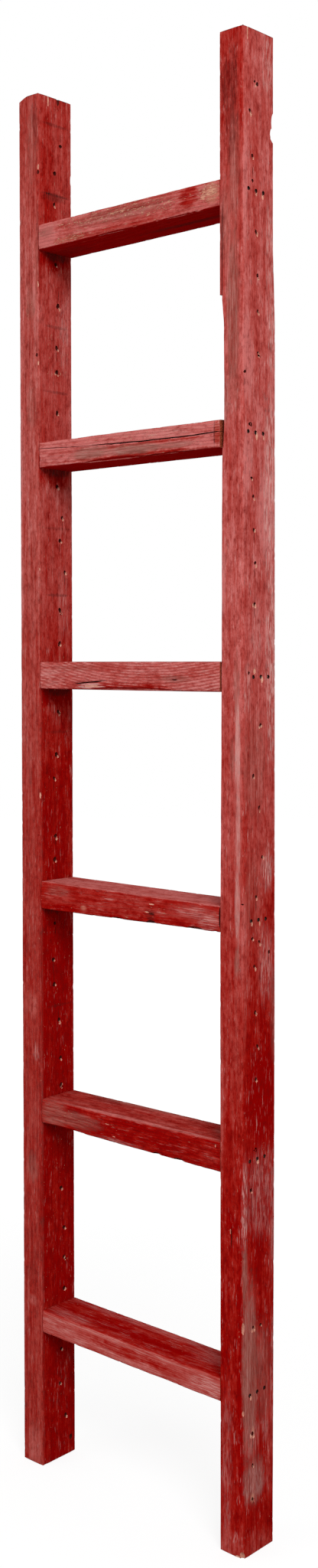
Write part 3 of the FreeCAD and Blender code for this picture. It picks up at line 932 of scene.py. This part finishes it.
def dress_left_rail(dark, fresh):
    low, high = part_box("rail_left")
    finish = old_paint(
        "rail_left_paint", Z, 1,
        # The front and side stops make the paint paler in the rail's upper half: partly from
        # fading, partly painted light from above.
        front=[(0.0, 0.3), (0.3, 0.23), (0.6, 0.28), (0.8, 0.33), (1.0, 0.5), (1.25, 0.7),
               (1.6, 0.72), (1.83, 0.48)],
        # The side stops are partly painted shade: they keep the inner face a deeper red than the
        # front all the way up.
        side=[(0.0, 0.08), (0.06, -0.16), (0.8, -0.16), (0.9, 0.1), (1.1, 0.42), (1.3, 0.6),
              (1.56, 0.56), (1.62, 0.38), (1.83, 0.46)],
        flecks=0.2, dust=0.25, rings=0.08, pith=(-0.1735, 0.11), lean=(0.004, 0.02),
        patches=LEFT_MARKS)
    board = saw_rail("rail_left", finish, 1)
    rub_down(board, "worn_end", "Z", -5, lambda at: (
        max(0, 1 - (at.x - low[0]) / (14 * MM)) if at.z > high[2] - 12 * MM else 0))
    carve_hollows(board, LEFT_WORN_HOLLOWS, finish, 3)
    carve_hollows(board, LEFT_TORN_HOLLOWS, fresh, 4, 0.5)
    carve_hollows(board, LEFT_DARK_HOLLOWS, dark, 5, 0.5)
    carve_nails(board, high[0], low[1], LEFT_NAILS, 0.7, (0.55, 0.95), dark, fresh, seed=1)
    carve_screw_seats(board, -1, low[0], dark)
    finish_board(board, "rail_left")


def dress_right_rail(dark, fresh, old):
    low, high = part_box("rail_right")
    finish = old_paint(
        "rail_right_paint", Z, 5,
        # The front and side stops make the paint paler in the rail's upper half: partly from
        # fading, partly painted light from above.
        front=[(0.0, 0.3), (0.1, 0.2), (0.2, 0.14), (0.35, 0.19), (0.5, 0.28), (0.7, 0.46),
               (0.9, 0.64), (1.1, 0.82), (1.6, 0.70), (1.7, 0.5), (1.83, 0.34)],
        side=[(0.0, 0.15), (0.35, 0.12), (0.5, 0.14), (0.6, 0.12), (0.7, 0.3), (0.9, 0.52),
              (1.1, 0.78), (1.6, 0.8), (1.83, 0.66)],
        flecks=0.12, dust=0.4, grime=0.85, rings=0.08, pith=(0.1735, 0.10), lean=(0.004, -0.018),
        patches=RIGHT_MARKS)
    board = saw_rail("rail_right", finish, 3)

    def by_back_edge(at, height):
        return max(0, 1 - (high[0] - at.x) / (14 * MM)) * height if at.y > 0.028 else 0

    rub_down(board, "worn_top", "Y", -7,
             lambda at: by_back_edge(at, min(1, (at.z - 1.49) / 0.15)))
    rub_down(board, "worn_foot", "Y", -3.5, lambda at: by_back_edge(at, 1 - at.z / 0.6))
    carve_lost_sliver(board, low[0], low[1], SLIVER, 14, old)
    carve_crack(board, Z, SLIVER_CRACK, low[1], 12, 0.9, dark)
    for number, hollow in enumerate(RIGHT_WORN_HOLLOWS):  # one by one, because two overlap
        carve_hollows(board, [hollow], finish, 6 + number, 0.9)
    carve_hollows(board, RIGHT_TORN_HOLLOWS, fresh, 7, 0.5)
    carve_hollows(board, RIGHT_DARK_HOLLOWS, dark, 8, 0.4)
    carve_nails(board, high[0], low[1] - 1.5 * MM, RIGHT_NAILS, 0.55, (0.42, 0.7), dark, fresh,
                seed=2)
    carve_screw_seats(board, 1, high[0], dark)
    finish_board(board, "rail_right")


# -------- the rungs
RUNG_COMMON = dict(dust=0.4, grime=0.6)
RUNG_CUTS, RUNG_ROUND_MM = ((12, 10), 15, 9), 2.4
# From the lowest: the height of its face at the left and at the right.
RUNG_FACES = ((31, 30), (33, 37.5), (37.5, 32.5), (36.5, 37), (34.5, 34.5), (34, 33))
# A rung's top value is painted light and shade: the brightness of its top apart from its front,
# for how the light from above falls on it.
RUNG_LOOKS = (
    dict(front=0.62, top=0.2, flecks=0.2, grime=0.1, pith=(0.0, 0.115), year_mm=2.6,
         rings=0.15, rubbed=0.1, patches=on_face(
        Y, FRONT, 5,
        scuff=[(-125, 200, 40, 12, 0.3), (0, 208, 170, 3, 0.35), (60, 187, 110, 5, 0.25),
               (132, 196, 30, 16, 0.5), (-60, 190, 60, 5, 0.3)],
        deep=[(0, 198, 70, 7, 0.7)]
    ) + on_face(
        Z, 213, 4,
        scuff=[(-110, -20, 45, 10, 0.3), (0, 24, 170, 8, 0.3), (120, 12, 50, 20, 0.25)],
        deep=[(0, -6, 140, 12, 0.6)])),
    dict(front=0.06, top=0.5, flecks=0.12, dust=0.3, grime=0.9, pith=(0.02, 0.37), rings=0.25,
         patches=on_face(
        Y, FRONT, 5,
        grey=[(-130, 482, 30, 22, 0.5), (-90, 482, 46, 12, 0.5)],
        chalk=[(-130, 482, 40, 22, 0.5), (138, 476, 16, 14, 0.4)],
        scuff=[(-20, 467, 50, 4, 0.35)],
        speck=[(-90, 484, 60, 12, 0.3), (-30, 486, 26, 8, 0.3)]
    ) + on_face(
        Z, 500, 4,
        soot=[(-80, 18, 30, 10, 0.4)],
        grey=[(-30, 26, 130, 6, 0.5), (132, 12, 22, 16, 0.4)]
    ) + [
        ("chalk", (0, -25, 500), (170, 5, 5), 0.9)]),
    dict(front=0.33, top=0.92, flecks=0.25, pith=(0.09, 0.70), rings=0.2, patches=on_face(
        Y, FRONT, 5,
        soot=[(42, 766, 10, 8, 0.5), (30, 754, 90, 2.5, 0.5)],
        grey=[(-122, 780, 22, 7, 0.4)],
        chalk=[(-125, 776, 34, 16, 0.3), (125, 772, 34, 14, 0.3)],
        scuff=[(112, 776, 40, 8, 0.35), (138, 766, 18, 12, 0.5)],
        speck=[(55, 774, 30, 8, 0.3)],
        bare=[(-76, 762, 6, 4, 0.6)],
        deep=[(-110, 757, 40, 6, 0.5), (30, 756, 90, 5, 0.5)]
    ) + on_face(
        Z, 790, 4,
        deep=[(150, 0, 20, 40, 0.5)])),
    dict(front=0.76, top=0.6, flecks=0.2, dust=0.3, pith=(0.0, 1.005), arch=(25, -0.8),
         year_mm=3.2, rings=0.35, rubbed=0.5, patches=on_face(
        Y, FRONT, 5,
        soot=[(83, 1060, 8, 2, 0.35), (-72, 1056, 24, 2, 0.4), (0, 1046, 80, 2, 0.4)],
        grey=[(84, 1061, 30, 5, 0.5), (-90, 1074, 50, 5, 0.3)],
        chalk=[(-60, 1064, 34, 10, 0.3)],
        scuff=[(-132, 1066, 24, 18, 0.35), (-62, 1050.5, 26, 5, 1.0)],
        deep=[(0, 1050, 80, 7, 0.9)])),
    dict(front=0.98, top=0.7, flecks=0.35, pith=(0.05, 1.25), rings=0.25, rubbed=0.2,
         patches=on_face(
        Y, FRONT, 5,
        soot=[(60, 1338, 90, 3, 0.5), (147, 1356, 1.2, 20, 0.7)],
        grey=[(-60, 1350, 40, 9, 0.9), (15, 1348, 60, 7, 1.0), (80, 1348, 36, 5, 0.7)],
        scuff=[(70, 1364, 60, 6, 0.4), (40, 1349, 14, 7, 0.5)],
        speck=[(20, 1366, 120, 6, 0.35), (120, 1350, 24, 8, 0.3)],
        bare=[(151, 1356, 4, 20, 0.15)],
        deep=[(40, 1354, 100, 2, 0.9), (151, 1356, 5, 20, 1.1), (20, 1340, 130, 5, 1.3)])),
    dict(front=0.86, top=0.7, flecks=0.5, pith=(0.02, 1.70), rings=0.2, rubbed=0.1,
         patches=on_face(
        Y, FRONT, 5,
        grey=[(-141, 1645, 16, 9, 0.5), (0, 1645, 90, 10, 0.5)],
        chalk=[(-141, 1640, 17, 20, 0.8)],
        speck=[(-20, 1648, 120, 11, 0.45), (60, 1640, 50, 10, 0.4), (-95, 1630, 44, 6, 0.5),
               (138, 1644, 20, 14, 0.9)],
        bare=[(-100, 1629, 30, 3, 0.4), (144, 1642, 11, 15, 0.9)],
        deep=[(106, 1646, 16, 14, 0.9), (-30, 1628, 110, 4, 0.5)]
    ) + on_face(
        Z, 1623, 4,
        chalk=[(-60, -22, 90, 9, 0.7), (80, -20, 60, 6, 0.5)]
    ) + on_face(
        Z, 1624, 4,
        soot=[(80, 4, 90, 6, 0.6), (-120, 0, 30, 16, 0.3)])))
# Cracks along the rungs' fronts, as (width, ((run, height), ...)).
RUNG_CRACKS = {
    5: [(0.7, ((-157, 1363.6), (-150, 1363.2), (-99.7, 1360.7), (-20, 1358.4))),
        (1.5, ((-60, 1359.5), (-30.8, 1358.6), (30, 1357), (98.4, 1356.5), (150, 1357.5),
               (157, 1357.7)))],
    4: [(1.6, ((-96, 1053), (-74, 1055), (-50, 1056.6), (-32, 1059)))]}
# Wane on the lower front edge, and what is knocked off the edges and ends.
RUNG_WANES = {
    6: [(-20, 1623.5, 42, 5, 2), (90, 1624, 30, 4, 1.5)],
    5: [(-20, 1337.8, 60, 6, 3.5), (70, 1337.8, 40, 5, 2)],
    4: [(8, 1045.4, 80, 7, 5), (-110, 1045.6, 30, 4, 1.5)],
    3: [(80, 754.2, 38, 5, 2.5)],
    2: [(-112, 465.3, 48, 5, 3.5)],
    1: [(-60, 181.6, 32, 4, 1.6), (70, 181.9, 26, 4, 1.4)]}
RUNG_DARK_HOLLOWS = {
    5: [(-155.5, 1350, 1.6, 4, 5)],
    4: [(83, 1060, 4.5, 1.4, 0.8), (-140, 1045.6, 6, 2.5, 1.6)],
    3: [(-16, 753.3, 12, 6, 3.8), (43, 754.1, 9, 7, 5), (116, 754.8, 15, 6, 4.2),
        (155.5, 774, 1.6, 9, 13), (44, 767, 5, 0.9, 1.5)],
    2: [(51, 464.5, 7, 5, 3.4), (88, 464, 10, 5, 4)]}
RUNG_TORN_HOLLOWS = {
    4: [(-60, 1050.4, 20, 0.8, 2.2)],
    3: [(44, 779, 5, 0.9, 1.1), (36, 768.5, 4, 0.8, 0.8)],
    2: [(148, 495, 1.2, 0.9, 3), (-34, 487, 5, 0.6, 0.7), (-22, 473, 4, 0.6, 0.7)]}


def in_front(*rows):
    """Hollows in a front, from rows of (run, height, radii)."""
    return [(run, FRONT, height, *radii) for run, height, *radii in rows]


def dress_rung(number, dark, fresh):
    node = f"rung_{number}"
    finish = old_paint(f"{node}_paint", X, 10 + number,
                       **{**RUNG_COMMON, **RUNG_LOOKS[number - 1]})
    board = saw_board(node, X, finish, RUNG_CUTS, RUNG_ROUND_MM,
                      lambda y_side, z_side: y_side < 0, RUNG_FACES[number - 1])
    weather(board, X, (30, 120), (7, 40), 1.6, (10 + number, 20 + number, 30 + number))
    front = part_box(node)[0][1]
    for width, stations in RUNG_CRACKS.get(number, ()):
        carve_crack(board, X, stations, front, 9, width, dark, seed=number)
    for wane in RUNG_WANES[number]:
        carve_hollows(board, in_front(wane), finish, number)
    for hollows, skin, ragged in ((RUNG_TORN_HOLLOWS, fresh, 0.2),
                                  (RUNG_DARK_HOLLOWS, dark, 0.35)):
        if number in hollows:
            carve_hollows(board, in_front(*hollows[number]), skin, number, ragged)
    finish_board(board, node)


# -------- the picture
set_camera()
add_lamp("key", (3.2, -2.3, 3.6), (0, 0, 0.75), size=2.2, watts=142)
add_lamp("fill", (-1.6, -2.8, 0.6), (0, 0, 0.6), size=2.2, watts=28)
make_room()

DARK = ((0.120, 0.014, 0.011), (0.028, 0.003, 0.002))
FRESH = ((0.80, 0.43, 0.32), (0.40, 0.100, 0.068))
hole_wood = raw_wood("hole_wood", Z, *DARK, 1)
torn_wood = raw_wood("torn_wood", Z, *FRESH, 2)
split_wood = raw_wood("split_wood", Z, (0.30, 0.15, 0.11), (0.08, 0.03, 0.02), 3)
rung_hole_wood = raw_wood("rung_hole_wood", X, *DARK, 4)
rung_torn_wood = raw_wood("rung_torn_wood", X, *FRESH, 5)
dress_left_rail(hole_wood, torn_wood)
dress_right_rail(hole_wood, torn_wood, split_wood)
for number in range(1, 7):
    dress_rung(number, rung_hole_wood, rung_torn_wood)

steel = screw_steel()
for name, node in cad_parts.items():
    if "_screws_" in name:
        if not node.material_slots:
            node.data.materials.append(steel)
        for slot in node.material_slots:
            slot.material = steel

view = bpy.context.scene.view_settings
view.view_transform = "Standard"
